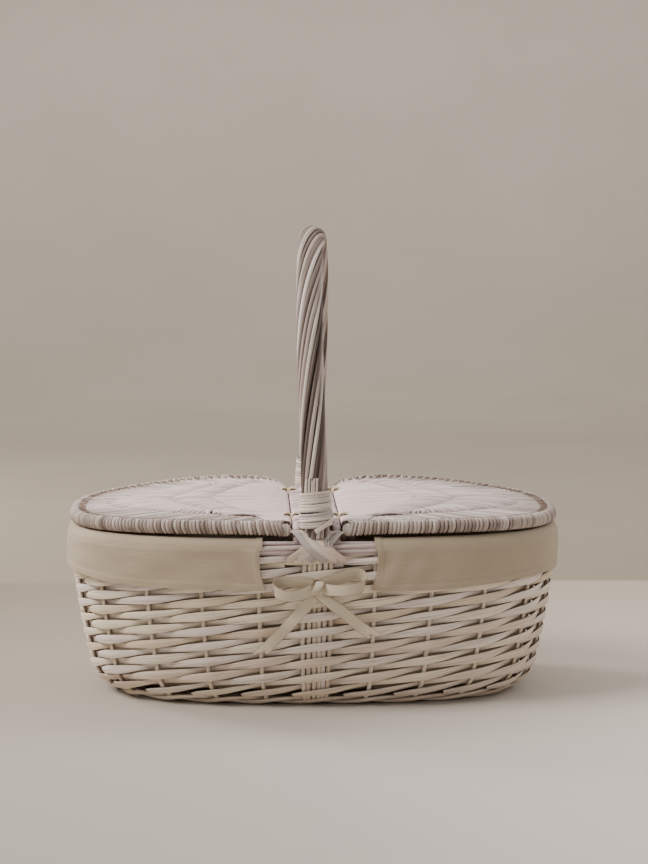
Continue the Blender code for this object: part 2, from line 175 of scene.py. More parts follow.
class Strands:
    """Collects swept rods and strips in one mesh, each with its own tone and grain coordinates."""

    def __init__(self):
        self.points, self.faces, self.values, self.count = [], [], [], 0

    def sweep(self, line, up, width, thick, tone=None, sides=8, closed=False, flat=1.0, cut=0.0):
        """Sweeps an oval section: width lies across the line and thick lies along up."""
        line = np.asarray(line, float)
        n = len(line)
        up = np.broadcast_to(np.asarray(up, float), line.shape)
        if closed:
            tangent = np.roll(line, -1, 0) - np.roll(line, 1, 0)
        else:
            tangent = np.gradient(line, axis=0)
        tangent = unit(tangent)
        across = unit(np.cross(tangent, up))
        lift = np.cross(across, tangent)
        width = np.broadcast_to(np.asarray(width, float), (n,)).copy()
        thick = np.broadcast_to(np.asarray(thick, float), (n,)).copy()
        turn = 2 * np.pi * (np.arange(sides) + 0.5) / sides
        c = signed_power(np.cos(turn), flat)
        s = signed_power(np.sin(turn), flat)
        ring = (
            line[:, None]
            + across[:, None] * (c[None, :, None] * width[:, None, None] / 2)
            + lift[:, None] * (s[None, :, None] * thick[:, None, None] / 2)
        )
        if cut:
            ring[-1] += tangent[-1] * (c * width[-1] * cut)[:, None]
        along = length_along(*line.T)
        tone = float(random.random()) if tone is None else tone
        own_tone = np.broadcast_to(tone, (n,))
        start = float(random.random()) * 3
        coordinates = np.empty((n, sides, 4))
        coordinates[..., 0] = (along + start)[:, None]
        coordinates[..., 1] = c[None] * width[:, None] / 2 + start * 0.2
        coordinates[..., 2] = own_tone[:, None]
        coordinates[..., 3] = 0.5 + 0.5 * np.sin(turn)
        self.points.append(ring.reshape(-1, 3))
        self.values.append(coordinates.reshape(-1, 4))
        base = self.count
        rows = np.arange(n if closed else n - 1)
        i, j = np.meshgrid(rows, np.arange(sides), indexing="ij")
        k, m = (i + 1) % n, (j + 1) % sides
        quads = np.stack([i * sides + j, i * sides + m, k * sides + m, k * sides + j], -1)
        self.faces.append((quads.reshape(-1, 4) + base).tolist())
        if not closed:
            last = base + (n - 1) * sides
            self.faces.append([list(range(base + sides - 1, base - 1, -1))])
            self.faces.append([list(range(last, last + sides))])
        self.count += n * sides

    def build(self, name, material, body, replaces):
        mesh = bpy.data.meshes.new(name)
        points = np.concatenate(self.points)
        mesh.from_pydata(points.tolist(), [], [face for group in self.faces for face in group])
        values = zip(("along", "across", "tone", "rise"), np.concatenate(self.values).T)
        finish_mesh(mesh, values, 50, material)
        return add_piece(name, mesh, body, replaces)


def finish_mesh(mesh, values, sharp_angle, material):
    """Gives a mesh its named coordinates, its shading and its material."""
    for label, numbers in values:
        layer = mesh.attributes.new(label, "FLOAT", "POINT")
        layer.data.foreach_set("value", np.ascontiguousarray(numbers, dtype=np.float32))
    mesh.shade_smooth()
    mesh.set_sharp_from_angle(angle=math.radians(sharp_angle))
    mesh.materials.append(material)


def add_object(name, data):
    made = bpy.data.objects.new(name, data)
    bpy.context.scene.collection.objects.link(made)
    return made


def add_piece(name, mesh, body, replaces):
    made = add_object(name, mesh)
    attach(made, body)
    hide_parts(*replaces)
    return made


def smooth_line(points, count):
    """A Catmull-Rom curve through given points."""
    p = np.asarray(points, float)
    p = np.concatenate([[2 * p[0] - p[1]], p, [2 * p[-1] - p[-2]]])
    t = np.linspace(0, len(p) - 3, count)
    i = np.minimum(t.astype(int), len(p) - 4)
    t = (t - i)[:, None]
    a, b, c, d = p[i], p[i + 1], p[i + 2], p[i + 3]
    return 0.5 * (2 * b + (c - a) * t + (2 * a - 5 * b + 4 * c - d) * t**2 + (3 * b - a - 3 * c + d) * t**3)


# ---- Materials ----


def node_tree(name):
    made = bpy.data.materials.new(name)
    made.use_nodes = True
    tree = made.node_tree
    return made, tree, tree.nodes["Principled BSDF"]


def add_node(tree, kind, **values):
    node = tree.nodes.new(kind)
    for key, value in values.items():
        setattr(node, key, value)
    return node


def feed(tree, socket, value):
    """Links a node's output to a socket, or sets the socket's own number or colour."""
    if isinstance(value, (int, float)):
        socket.default_value = value
    elif isinstance(value, tuple):
        socket.default_value = (*value, 1)
    else:
        tree.links.new(value, socket)


def math_node(tree, operation, *values):
    node = add_node(tree, "ShaderNodeMath", operation=operation)
    for socket, value in zip(node.inputs, values):
        feed(tree, socket, value)
    return node.outputs[0]


def multiply(tree, a, b):
    return math_node(tree, "MULTIPLY", a, b)


def ramp(tree, factor, stops):
    node = add_node(tree, "ShaderNodeValToRGB")
    while len(node.color_ramp.elements) < len(stops):
        node.color_ramp.elements.new(0.5)
    for element, (position, colour) in zip(node.color_ramp.elements, stops):
        element.position = position
        element.color = (*colour, 1)
    tree.links.new(factor, node.inputs[0])
    return node.outputs[0]


def mix(tree, factor, a, b, blend="MIX"):
    node = add_node(tree, "ShaderNodeMix", data_type="RGBA", blend_type=blend)
    for index, value in ((0, factor), (6, a), (7, b)):
        feed(tree, node.inputs[index], value)
    return node.outputs[2]


def tinted(tree, a, b):
    return mix(tree, 1.0, a, b, "MULTIPLY")


def attribute(tree, name):
    return add_node(tree, "ShaderNodeAttribute", attribute_name=name).outputs["Fac"]


def noise(tree, vector, scale, detail=3.0, roughness=0.55):
    node = add_node(tree, "ShaderNodeTexNoise", noise_dimensions="3D")
    node.inputs["Scale"].default_value = scale
    node.inputs["Detail"].default_value = detail
    node.inputs["Roughness"].default_value = roughness
    tree.links.new(vector, node.inputs["Vector"])
    return node.outputs["Fac"]


def combine(tree, x, y, z):
    node = add_node(tree, "ShaderNodeCombineXYZ")
    for socket, value in zip(node.inputs, (x, y, z)):
        feed(tree, socket, value)
    return node.outputs[0]


def bump(tree, shader, height, strength, distance):
    node = add_node(tree, "ShaderNodeBump")
    node.inputs["Strength"].default_value = strength
    node.inputs["Distance"].default_value = distance
    tree.links.new(height, node.inputs["Height"])
    tree.links.new(node.outputs[0], shader.inputs["Normal"])


def willow(name, tones, bare, wash=0.62, rough=0.62):
    """Whitewashed willow: each strand has its own tone, a long grain, wash worn off in streaks, and painted
    shade on its sides.
    """
    made, tree, shader = node_tree(name)
    along, across, tone = (attribute(tree, label) for label in ("along", "across", "tone"))
    grain_at = combine(tree, multiply(tree, along, 28), multiply(tree, across, 900), tone)
    grain = noise(tree, grain_at, 1.0, 4.0, 0.6)
    patch_at = combine(tree, multiply(tree, along, 45), multiply(tree, across, 160), tone)
    patch = noise(tree, patch_at, 1.0, 3.0, 0.6)
    base = ramp(tree, tone, tones)
    streak = ramp(tree, grain, [(0.30, (0.62, 0.58, 0.56)), (0.52, (1, 1, 1)), (0.75, (1.08, 1.06, 1.04))])
    coloured = tinted(tree, base, streak)
    # Painted shade: each strand's sides are painted darker in the crevices where it meets the next one.
    painted_crevice_shade = ramp(tree, attribute(tree, "rise"), [(0.30, (0.32, 0.26, 0.22)), (0.72, (1, 1, 1))])
    coloured = tinted(tree, coloured, painted_crevice_shade)
    worn = ramp(tree, patch, [(wash, (0, 0, 0)), (wash + 0.14, (1, 1, 1))])
    worn_share = multiply(tree, worn, 0.55)
    tree.links.new(mix(tree, worn_share, coloured, bare), shader.inputs["Base Color"])
    spread = add_node(tree, "ShaderNodeMapRange")
    spread.inputs["To Min"].default_value = rough - 0.12
    spread.inputs["To Max"].default_value = rough + 0.16
    tree.links.new(grain, spread.inputs["Value"])
    tree.links.new(spread.outputs[0], shader.inputs["Roughness"])
    shader.inputs["Specular IOR Level"].default_value = 0.35
    bump(tree, shader, grain, 0.5, 0.0006)
    return made


def cloth(name, colour, shade, threads, sheen, stitch_at=None, shaded_edges=False):
    """Plain-woven cloth: fine crossed threads, slubs and soft tone changes."""
    made, tree, shader = node_tree(name)
    along, across = attribute(tree, "along"), attribute(tree, "across")
    warp = math_node(tree, "SINE", multiply(tree, along, threads))
    weft = math_node(tree, "SINE", multiply(tree, across, threads))
    weave = multiply(tree, warp, weft)
    slub_at = combine(tree, multiply(tree, along, 60), multiply(tree, across, 900), 0)
    slub = noise(tree, slub_at, 1.0, 2.0)
    cloud = noise(tree, combine(tree, along, across, 0.5), 14.0, 3.0)
    tint = ramp(tree, cloud, [(0.3, shade), (0.7, colour)])
    thread_tint = ramp(tree, slub, [(0.35, (0.95, 0.945, 0.94)), (0.65, (1.02, 1.02, 1.02))])
    painted = tinted(tree, tint, thread_tint)
    height = math_node(tree, "ADD", multiply(tree, weave, 0.25), slub)
    if shaded_edges:
        # Painted shade: the ribbon's edges are painted darker, and its back face a little darker too.
        stops = [(0.25, (0.86, 0.85, 0.83)), (0.45, (0.58, 0.53, 0.47)),
                 (0.70, (0.66, 0.61, 0.55)), (0.86, (1, 1, 1))]
        painted_edge_shade = ramp(tree, attribute(tree, "rise"), stops)
        painted = tinted(tree, painted, painted_edge_shade)
    if stitch_at:
        # A row of stitches beside each hem: short dashes that sink into the cloth.
        past_line = math_node(tree, "SUBTRACT", attribute(tree, "edge"), stitch_at)
        on_line = math_node(tree, "LESS_THAN", math_node(tree, "ABSOLUTE", past_line), 0.0005)
        wave = math_node(tree, "SINE", multiply(tree, math_node(tree, "ADD", along, across), 2100))
        dash = math_node(tree, "GREATER_THAN", wave, -0.3)
        stitch = multiply(tree, on_line, dash)
        painted = mix(tree, multiply(tree, stitch, 0.35), painted, (0.34, 0.26, 0.18))
        height = math_node(tree, "SUBTRACT", height, multiply(tree, stitch, 1.5))
    tree.links.new(painted, shader.inputs["Base Color"])
    shader.inputs["Roughness"].default_value = 0.92
    shader.inputs["Specular IOR Level"].default_value = 0.2
    shader.inputs["Sheen Weight"].default_value = sheen
    shader.inputs["Sheen Roughness"].default_value = 0.5
    bump(tree, shader, height, 0.35, 0.0004)
    return made


SIDE_TONES = [(0.0, (0.78, 0.63, 0.47)), (0.2, (0.86, 0.74, 0.57)), (0.5, (0.90, 0.79, 0.63)),
              (0.75, (0.87, 0.76, 0.69)), (1.0, (0.80, 0.65, 0.51))]
# The dark end of this ramp also carries the painted shade where the lid's strands dip under their ribs.
PALE_TONES = [(0.0, (0.22, 0.155, 0.135)), (0.22, (0.56, 0.44, 0.42)), (0.5, (0.76, 0.625, 0.62)),
              (0.8, (0.86, 0.735, 0.72)), (1.0, (0.80, 0.66, 0.57))]
# The dark end of this ramp also carries the painted shade round the outside of the lid borders.
BORDER_TONES = [(0.0, (0.30, 0.23, 0.20)), (0.35, (0.52, 0.425, 0.38)), (0.65, (0.74, 0.64, 0.60)),
                (1.0, (0.82, 0.73, 0.70))]
HANDLE_TONES = [(0.0, (0.10, 0.072, 0.06)), (0.3, (0.24, 0.18, 0.155)), (0.6, (0.45, 0.365, 0.325)),
                (1.0, (0.82, 0.73, 0.67))]
BINDING_TONES = [(0.0, (0.44, 0.38, 0.38)), (0.4, (0.74, 0.65, 0.58)), (0.7, (0.80, 0.70, 0.55)),
                 (1.0, (0.74, 0.58, 0.48))]
SKEIN_TONES = [(0.0, (0.76, 0.66, 0.45)), (0.5, (0.82, 0.73, 0.53)), (1.0, (0.68, 0.54, 0.34))]

side_willow = willow("side_willow", SIDE_TONES, (0.56, 0.44, 0.43))
pale_willow = willow("pale_willow", PALE_TONES, (0.52, 0.42, 0.36), wash=0.68)
border_willow = willow("border_willow", BORDER_TONES, (0.74, 0.65, 0.60), wash=0.56)
handle_willow = willow("handle_willow", HANDLE_TONES, (0.26, 0.19, 0.15), rough=0.5)
binding_willow = willow("binding_willow", BINDING_TONES, (0.58, 0.46, 0.32), wash=0.66, rough=0.5)
skein_willow = willow("skein_willow", SKEIN_TONES, (0.50, 0.38, 0.22), rough=0.45)
inner_willow = willow("inner_willow", SIDE_TONES, (0.40, 0.31, 0.23), wash=0.55)
cotton = cloth("liner_cotton", (0.495, 0.405, 0.295), (0.44, 0.355, 0.255), 9000, 0.15, stitch_at=0.0062)
ribbon_cloth = cloth("ribbon_weave", (0.70, 0.60, 0.46), (0.60, 0.50, 0.36), 12000, 0.25, shaded_edges=True)


# ---- The woven side ----


def build_side_weave():
    """French randing: one weaver starts at each upright and climbs a row at each upright it passes."""
    weave = Strands()
    for start in range(UPRIGHTS):
        steps = np.linspace(-0.45, WEAVE_ROWS - 0.55, WEAVE_ROWS * 10 + 1)
        stage = steps - 0.15 * np.sin(2 * np.pi * steps) / (2 * np.pi)
        wave = np.cos(np.pi * steps)
        upright = np.round(steps + start)
        over_bundle = np.mod(upright, UPRIGHTS // 2) == 0
        straight = np.arcsin(0.98 * wave) / np.arcsin(0.98)
        out = np.where(over_bundle, np.tanh(2.4 * wave) / np.tanh(2.4), straight)
        knots = np.arange(-1, WEAVE_ROWS + 1)
        wobble = np.interp(steps, knots, random.normal(0, 0.00030, len(knots)))
        up = (stage + 0.5) / WEAVE_ROWS
        # The rows are packed tighter towards the top.
        z = WEAVE_LOW_Z + (WEAVE_HIGH_Z - WEAVE_LOW_Z) * (up + 0.10 * up * (1 - up)) + wobble
        share = (steps + start) / UPRIGHTS
        line, normal = side(share, z, WALL_MIDDLE + out * (STAKE_RADIUS + 0.0015))
        grown = 1 + 0.05 * random.normal()
        in_front = np.clip(wave, 0, 1)
        width = (0.0060 + 0.0024 * in_front - 0.0015 * np.clip(-wave, 0, 1)) * grown
        width = width * (1.03 - 0.10 * steps / WEAVE_ROWS)
        weave.sweep(line, normal, width, 0.0018, flat=0.8)
    weave.build("side_weave_randing", side_willow, "basket", ["side_weave"])


def build_stakes():
    stakes = Strands()
    z = np.linspace(0.004, 0.1362, 16)
    for index in range(UPRIGHTS):
        if index % (UPRIGHTS // 2) == 0:
            continue
        line, normal = side(index / UPRIGHTS, z, WALL_MIDDLE)
        stakes.sweep(line, normal, 2 * STAKE_RADIUS, 2 * STAKE_RADIUS)
    names = [f"stake_{i:02d}" for i in range(1, UPRIGHTS - 1)]
    stakes.build("side_stakes", side_willow, "basket", names)


def build_foot_rods():
    """The handle's rods spread flat and go down inside the weave at the front and the back."""
    for name, middle in (("front", 0.0), ("back", 0.5)):
        rods = Strands()
        z = np.linspace(0.006, 0.1500, 24)
        for i in range(6):
            spread = (i - 2.5) * 0.0046 * (1 + 0.12 * np.sin(z * 30 + i))
            line, normal = side(middle + spread / RIM_LENGTH, z, WALL_MIDDLE - 0.0004)
            rods.sweep(line, normal, 0.0040, 0.0038)
        rods.build(f"{name}_foot_rods", side_willow, "basket", [f"{name}_handle_rods"])


def pairing(strands, z, out, reach, lift, size):
    """Two strands twined round the uprights, one in front and one behind, crossing between them."""
    share = np.linspace(0, 1, UPRIGHTS * 14, endpoint=False)
    wave = np.cos(np.pi * UPRIGHTS * share)
    rise = np.sin(np.pi * UPRIGHTS * share)
    for hand in (-1, 1):
        line, normal = side(share, z + lift * hand * rise, out + reach * hand * wave)
        width = size * (1 + 0.25 * np.clip(hand * wave, 0, 1))
        strands.sweep(line, normal, width, size * 0.52, closed=True, flat=0.85)


def build_rings():
    foot = Strands()
    pairing(foot, 0.0047, -0.0032, 0.0031, 0.0022, 0.0046)
    foot.build("bottom_wale_pairing", side_willow, "basket", ["bottom_wale"])
    top = Strands()
    pairing(top, 0.1322, WALL_MIDDLE, 0.0028, 0.0016, 0.0050)
    top.build("top_wale_pairing", side_willow, "basket", ["top_wale"])
    rim = Strands()
    share = np.linspace(0, 1, 400, endpoint=False)
    # Rods of the rolled border, by their place round its middle.
    for i in range(8):
        angle = 2 * np.pi * i / 8 + 0.35
        sway = angle + 0.35 * np.sin(2 * np.pi * (3 + i % 2) * share + 1.7 * i)
        size = 0.0039 * (1 + 0.12 * random.normal())
        reach = 0.0043 + 0.0003 * np.sin(2 * np.pi * 5 * share + 2.3 * i)
        line, normal = side(share, BORDER_Z + reach * np.sin(sway), BORDER_OUT + reach * np.cos(sway))
        rim.sweep(line, normal, size, size, closed=True)
    rim.sweep(side(share, BORDER_Z, BORDER_OUT)[0], UP, 0.0056, 0.0056, closed=True)
    rim.build("rim_border_rods", pale_willow, "basket", ["rim_border"])


def build_base():
    """An oval base: rods round and round over and under the sticks that cross it."""
    base = Strands()
    half_x, half_y, middle_z = 0.1750, 0.1075, 0.0026
    pitch, crossings = 0.0043, 28
    angle = around(240)
    ux, uy = unit_oval(angle)
    for ring in range(int(half_y / pitch) - 1):
        inset = ring * pitch + 0.001
        z = middle_z + 0.0009 * np.sin(crossings / 2 * angle + np.pi * ring)
        line = np.stack([(half_x - inset) * ux, (half_y - inset) * uy, z], -1)
        base.sweep(line, UP, pitch * 0.98, 0.0026, sides=6, closed=True)
    for i in range(crossings):
        ux, uy = unit_oval(2 * np.pi * (i + 0.5) / crossings)
        start, end = ((half_x - half_y) * ux, 0, middle_z), (half_x * ux, half_y * uy, middle_z)
        base.sweep(np.linspace(start, end, 10), UP, 0.0028, 0.0026, sides=6)
    base.sweep(np.linspace([-0.075, 0, middle_z], [0.075, 0, middle_z], 8), UP, 0.006, 0.0034)
    base.build("base_weave_rods", inner_willow, "basket", ["base_weave"])
    for i in range(3):
        low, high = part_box(f"base_stick_{i + 1}")
        stick = Strands()
        middle_y, middle_z = (low[1] + high[1]) / 2, (low[2] + high[2]) / 2
        x = np.linspace(low[0], high[0], 20)
        line = xyz(x, middle_y, middle_z)
        thick = (high[2] - low[2]) * (1 - 0.18 * np.abs(x / high[0]) ** 3)
        stick.sweep(line, UP, thick, thick, sides=10)
        stick.build(f"base_stick_rod_{i + 1}", inner_willow, "basket", [f"base_stick_{i + 1}"])


# ---- Handle ----


def hoop(share):
    """The hoop's centre line from the front foot to the back one, with inward and sideways directions."""
    turn = np.pi * np.asarray(share, float)
    height = CROWN_Z - HANDLE_FOOT_Z
    line = xyz(
        -HANDLE_TWIST * np.sin(2 * turn),
        -HANDLE_Y * np.cos(turn),
        HANDLE_FOOT_Z + height * np.sin(turn),
    )
    tangent = unit(xyz(-2 * HANDLE_TWIST * np.cos(2 * turn), HANDLE_Y * np.sin(turn), height * np.cos(turn)))
    inward = unit(np.cross(tangent, ALONG_X))
    return line, inward, np.cross(inward, tangent)


def round_hoop(share, angle, radius):
    """Points round the hoop; angle 0 is its inner side and half a turn is its outer side."""
    line, inward, sideways = hoop(share)
    away = spokes(angle, inward, sideways)
    return line + away * np.broadcast_to(radius, len(line))[:, None], away


def build_handle():
    core = Strands()
    line, away, _ = hoop(np.linspace(0, 1, 60))
    core.sweep(line, away, 0.0100, 0.0100, sides=10)
    core.build("handle_core_rod", handle_willow, "basket", ["handle_core"])
    wrap = Strands()
    share = np.linspace(0, 1, 130)
    rods, twist = 16, 2.1
    for i in range(rods):
        tone = (0.15 + 0.85 * random.random()) if random.random() > 0.25 else 0.1 * random.random()
        drift = np.interp(share, np.linspace(0, 1, 9), random.normal(0, 0.05, 9))
        angle = 2 * np.pi * (i / rods - twist * share) + drift
        size = 0.0037 * (1 + 0.12 * random.normal())
        uneven = np.interp(share, np.linspace(0, 1, 12), random.normal(0, 0.00018, 12))
        reach = HANDLE_RADIUS - size / 2 + uneven
        line, away = round_hoop(share, angle, reach)
        wrap.sweep(line, away, size, size, tone=tone)
    wrap.build("handle_twisted_rods", handle_willow, "basket", ["handle_rod_wrap"])
    for name, foot in (("front", 0.0), ("back", 1.0)):
        build_binding(name, foot)
        build_lashing(name, foot)


def build_binding(name, foot):
    """Turns of split cane round the handle's foot, with the cut ends of a few rods above them."""
    binding = Strands()
    low_z, high_z = (float(corner[2]) + 0.003 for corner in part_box(f"{name}_handle_binding"))
    turns = 12

    def on_leg(z, angle, radius):
        rise = np.clip((z - HANDLE_FOOT_Z) / (CROWN_Z - HANDLE_FOOT_Z), 0, 1)
        share = np.arcsin(rise) / np.pi
        return round_hoop(share if foot == 0 else 1 - share, angle, radius)

    pitch = (high_z - low_z) / turns
    for i in range(turns):
        angle = around(40)
        tilt = 0.0004 * random.normal()
        z = low_z + (i + 0.5) * pitch + tilt * np.sin(angle + random.random() * 6) + 0.0010 * np.sin(angle)
        radius = HANDLE_RADIUS + 0.0006 + 0.0014 * (1 - i / turns) ** 0.7 + 0.0002 * random.normal()
        line, away = on_leg(z, angle, radius)
        binding.sweep(line, away, pitch * 1.12, 0.0022, closed=True)
    for i in range(5):
        angle = 3.05 + 0.20 * i + 0.04 * random.normal()
        z = np.linspace(high_z - 0.006, high_z + 0.007 + 0.005 * random.random(), 8)
        line, away = on_leg(z, np.full(8, angle) - 0.12 * np.linspace(0, 1, 8), HANDLE_RADIUS + 0.0008)
        binding.sweep(line, away, 0.0021, 0.0021, tone=0.35)
    # The last turn climbs back over the others.
    t = np.linspace(0, 1, 30)
    line, away = on_leg(low_z - 0.003 + 0.013 * t, np.pi + 0.1 - 1.7 * t, HANDLE_RADIUS + 0.0034)
    binding.sweep(line, away, 0.0040, 0.0012, tone=0.6, flat=0.7)
    binding.build(f"{name}_binding_turns", binding_willow, "basket", [f"{name}_handle_binding"])


def over_border(level, sideways, middle):
    """A point on the rim's outline: level -1 is inside, 0 on top, 1 outside at the middle, 2 below it."""
    reach = 0.0080
    turn = np.pi / 2 * (1 - np.clip(level, -1.6, 1.2))
    below = np.clip(level - 1.2, 0, None)
    z = BORDER_Z + reach * np.sin(turn) - below * 0.013
    out = BORDER_OUT + reach * np.cos(turn) - below * 0.0028
    point, normal = side(middle + sideways / RIM_LENGTH, z, out)
    return point, spokes(turn, normal, UP)


def build_lashing(name, foot):
    """Flat skeins that cross over the rim, under the handle's foot, and the rod ends beside them."""
    lashing = Strands()
    middle = 0.0 if foot == 0 else 0.5
    for hand in (1, -1):
        for i in range(3):
            t = np.linspace(0, 1, 26)
            start = hand * (0.030 - 0.0072 * i) + 0.0006 * random.normal()
            finish = start - hand * (0.036 + 0.001 * i)
            level = -1.3 + 3.2 * t
            sideways = start + (finish - start) * np.clip((t - 0.30) / 0.62, 0, 1) ** 0.9
            line, away = over_border(level, sideways, middle)
            stacked = 0.0006 + (0.0013 if hand < 0 else 0.0) + 0.0002 * i
            line = line + away * (stacked * np.clip((1 - t) / 0.12, 0, 1) ** 0.5)[:, None]
            near_top = np.exp(-(((level - 0.15) / 0.45) ** 2))
            line[:, 2] += 0.0058 * near_top * np.clip(np.abs(sideways) / 0.012, 0, 1)
            tone = 0.10 + 0.35 * i + 0.15 * random.random()
            lashing.sweep(line, away, 0.0064, 0.0012, tone=tone, flat=0.75)
    for i in range(4):
        t = np.linspace(0, 1, 8)
        line, away = over_border(0.20 + 0.62 * t, 0.0050 + 0.0021 * i + 0.0015 * t, middle)
        lashing.sweep(line + away * 0.0030, away, 0.0017, 0.0016, tone=0.1)
    lashing.build(f"{name}_cross_lashing", binding_willow, "basket", [f"{name}_rim_lashing"])


# ---- Bridge and hinge loops ----


def off_loop(line):
    """The directions that point away from a closed line round the Y direction."""
    ahead = np.roll(line, -1, 0) - np.roll(line, 1, 0)
    return xyz(ahead[:, 2], 0, -ahead[:, 0])


def build_bridge():
    """Two edge rods under close turns of pale strands that cross from one to the other."""
    def height(y):
        return HINGE_Z - 0.0012 * np.clip((np.abs(y) - 0.112) / 0.014, 0, 1)

    # Half an edge rod, from the middle to its end: y, and how far it lies under the hinge line.
    steps = ((0, 0), (0.060, 0), (0.112, 0), (0.126, 0.0012),
             (0.1330, 0.0042), (0.1380, 0.0090), (0.1396, 0.0140))
    half_path = smooth_line([(0, y, HINGE_Z - drop) for y, drop in steps], 90)
    along = length_along(*half_path.T)
    for name, mirror in (("left", -1), ("right", 1)):
        rod = Strands()
        whole = np.concatenate([half_path[:0:-1] * [1, -1, 1], half_path]) + [mirror * BRIDGE_ROD_X, 0, 0]
        rod.sweep(whole, ALONG_X, 0.0042, 0.0042, sides=10)
        # Beyond the woven strip each rod has its own close wrapping.
        for end in (-1, 1):
            for spot in np.arange(0.1270, along[-1], 0.0026):
                middle = between(spot, along, half_path)
                ahead = unit(between(spot + 0.001, along, half_path) - middle)
                away = spokes(around(16), ALONG_X, np.cross(ahead, ALONG_X))
                mirrored = np.array([1.0, end, 1.0])
                ring = (middle + away * 0.0030) * mirrored + [mirror * BRIDGE_ROD_X, 0, 0]
                rod.sweep(ring, away * mirrored, 0.0028, 0.0013, sides=6, closed=True)
        rod.build(f"bridge_{name}_edge", pale_willow, "basket", [f"bridge_{name}_rod"])
    strip = Strands()
    spot, last = -0.1255, 0.1255
    while spot < last:
        pitch = 0.0036 + 0.0012 * random.random()
        turn = np.linspace(-np.pi / 2, np.pi / 2, 9)
        reach = 0.0029
        right = np.stack([BRIDGE_ROD_X + reach * np.cos(turn), reach * np.sin(turn)], -1)
        left = np.stack([-right[::-1, 0], right[::-1, 1]], -1)
        across = np.linspace(BRIDGE_ROD_X, -BRIDGE_ROD_X, 8)[1:-1]
        sag = 0.0007 * (1 - (across / BRIDGE_ROD_X) ** 2)
        top = np.stack([across, reach + sag], -1)
        under = np.stack([across[::-1], -reach - sag], -1)
        loop = np.concatenate([right, top, left, under])
        slant = 0.002 * random.normal() * loop[:, 0] / BRIDGE_ROD_X * 0.4
        y = spot + pitch / 2 + slant
        line = xyz(loop[:, 0], y, height(spot) + loop[:, 1])
        strip.sweep(line, off_loop(line), pitch * 1.03, 0.0011, sides=6, closed=True, flat=0.8)
        spot += pitch
    for x in np.linspace(-0.0105, 0.0105, 4):
        y = np.linspace(-0.126, 0.126, 30)
        strip.sweep(xyz(x, y, height(y)), UP, 0.0046, 0.0040)
    strip.build("bridge_strip", pale_willow, "basket", ["bridge_weave"])


def build_hinge_loops():
    """Each hinge is three turns of flat skein round a lid's rod and the bridge's edge, tied in the middle."""
    reach, midway = 0.0054, (HINGE_X + BRIDGE_ROD_X) / 2
    for mirror, side_name in ((-1, "left"), (1, "right")):
        for end, end_name in ((-1, "front"), (1, "back")):
            loop = Strands()
            for i in range(3):
                turn_out = np.linspace(-np.pi / 2, np.pi / 2, 9)
                between = np.linspace(HINGE_X, BRIDGE_ROD_X, 9)[1:-1]
                outer = np.stack([HINGE_X + reach * np.cos(turn_out), reach * np.sin(turn_out)], -1)
                inner = np.stack([BRIDGE_ROD_X - reach * np.cos(turn_out), -reach * np.sin(turn_out)], -1)
                upper = np.stack([between, np.full(7, reach)], -1)
                path = np.concatenate([outer, upper, inner, -upper[::-1] * [-1, 1]])
                dip = 0.0026 * np.exp(-(((path[:, 0] - midway) / 0.0022) ** 2)) * np.sign(path[:, 1])
                waist = np.clip(np.abs(path[:, 0] - midway) / 0.0055, 0.2, 1)
                y = end * LOOP_Y + (i - 1) * 0.0031 * waist
                line = xyz(mirror * path[:, 0], y, HINGE_Z + path[:, 1] - dip)
                loop.sweep(line, mirror * off_loop(line), 0.0034, 0.0022, sides=6, closed=True, flat=0.8)
            away = spokes(around(16), ALONG_Y, UP)
            knot = away * 0.0042 + [mirror * midway, end * LOOP_Y, HINGE_Z]
            loop.sweep(knot, away, 0.0028, 0.0016, sides=6, closed=True)
            node = f"{side_name}_{end_name}_hinge_loop"
            loop.build(f"{node}_skein", skein_willow, "basket", [node])


# ---- Lids ----


def lid_lift(x, y):
    share = np.clip((x - HINGE_X) / (LID_HALF_X - LID_BORDER_RADIUS - HINGE_X), 0, 1)
    return (LID_ARCH + LID_WARP * y / LID_HALF_Y) * np.sin(np.pi * share**0.55)


def lid_table(inset, end_x):
    """Points of a curve inside the lid's outline, with their lengths from its tip to the back."""
    half_x, half_y = LID_HALF_X - inset, LID_HALF_Y - inset
    end = math.acos(min(1.0, (end_x / half_x)) ** (OVAL_POWER / 2))
    ux, uy = unit_oval(np.linspace(-end, end, 4001))
    x, y = half_x * ux, half_y * uy
    along = length_along(x, y)
    return x, y, along - along[2000]


def lid_curve(table, along):
    x, y, length = table
    return np.interp(along, length, x), np.interp(along, length, y)


def lid_frame(table, along):
    """Point, outward direction and forward direction on a lid's curve, level."""
    x, y = lid_curve(table, along)
    x1, y1 = lid_curve(table, along + 0.0005)
    x0, y0 = lid_curve(table, along - 0.0005)
    forward = unit(xyz(x1 - x0, y1 - y0, 0))
    outward = np.cross(forward, UP)
    return x, y, outward, forward


def strand_marks(length, low, high):
    """Middles and widths of strands that fill a length."""
    marks, spot = [], -length
    while spot < length:
        pitch = low + (high - low) * random.random()
        marks.append((spot + pitch / 2, pitch))
        spot += pitch
    return marks


def rib_curve(half_x, half_y, power, points=400):
    """A curved rib from the front to the back, its top at half_x from the hinge."""
    turn = np.linspace(-np.pi / 2, np.pi / 2, points)
    x = HINGE_X + 0.001 + half_x * np.cos(turn) ** (2 / power)
    return x, half_y * signed_power(np.sin(turn), 2 / power)


def with_length(x, y):
    along = length_along(x, y)
    return x, y, along - along[-1] / 2


def rib_tables():
    """The three ribs: the second and the third end on the arms of the first."""
    first = rib_curve(*RIB_SHAPES[0])
    tables = [with_length(*first)]
    for shape in RIB_SHAPES[1:]:
        x, y = rib_curve(*shape)
        limit = RIB_SHAPES[0][1] * np.sqrt(np.clip(1 - ((x - HINGE_X) / RIB_SHAPES[0][0]) ** 2, 0, 1))
        inside = np.abs(y) < limit
        tables.append(with_length(x[inside], y[inside]))
    return tables


